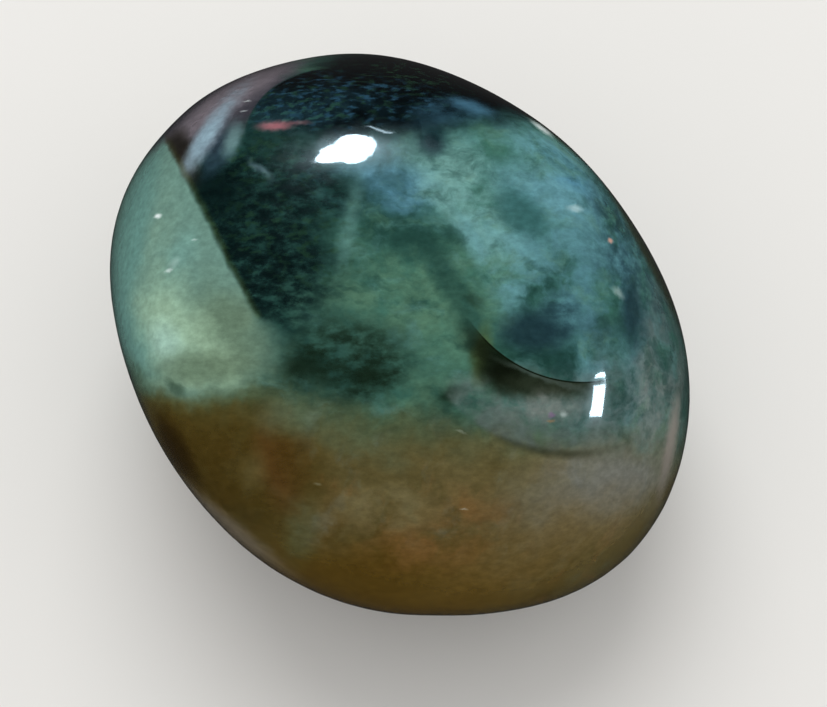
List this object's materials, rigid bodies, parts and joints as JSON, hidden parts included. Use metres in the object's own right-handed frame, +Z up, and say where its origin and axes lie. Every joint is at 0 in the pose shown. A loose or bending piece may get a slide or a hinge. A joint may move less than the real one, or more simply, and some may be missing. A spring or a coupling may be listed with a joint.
{
  "type": "tumbled stone",
  "caption": "Small irregular tumbled stone of translucent green moss agate with a wet polish, lying on the flat spot worn into its underside.",
  "frame": {"origin": "on the surface that the stone rests on, under the middle of its box", "axes": "+Z up, across the stone's thickness; +X along its longest way; +Y across it"},
  "size_m": [0.0284, 0.0242, 0.0185],
  "materials": {
    "polished_moss_agate": "polished"
  },
  "bodies": {
    "root": {"stone": "polished_moss_agate"}
  },
  "joints": []
}
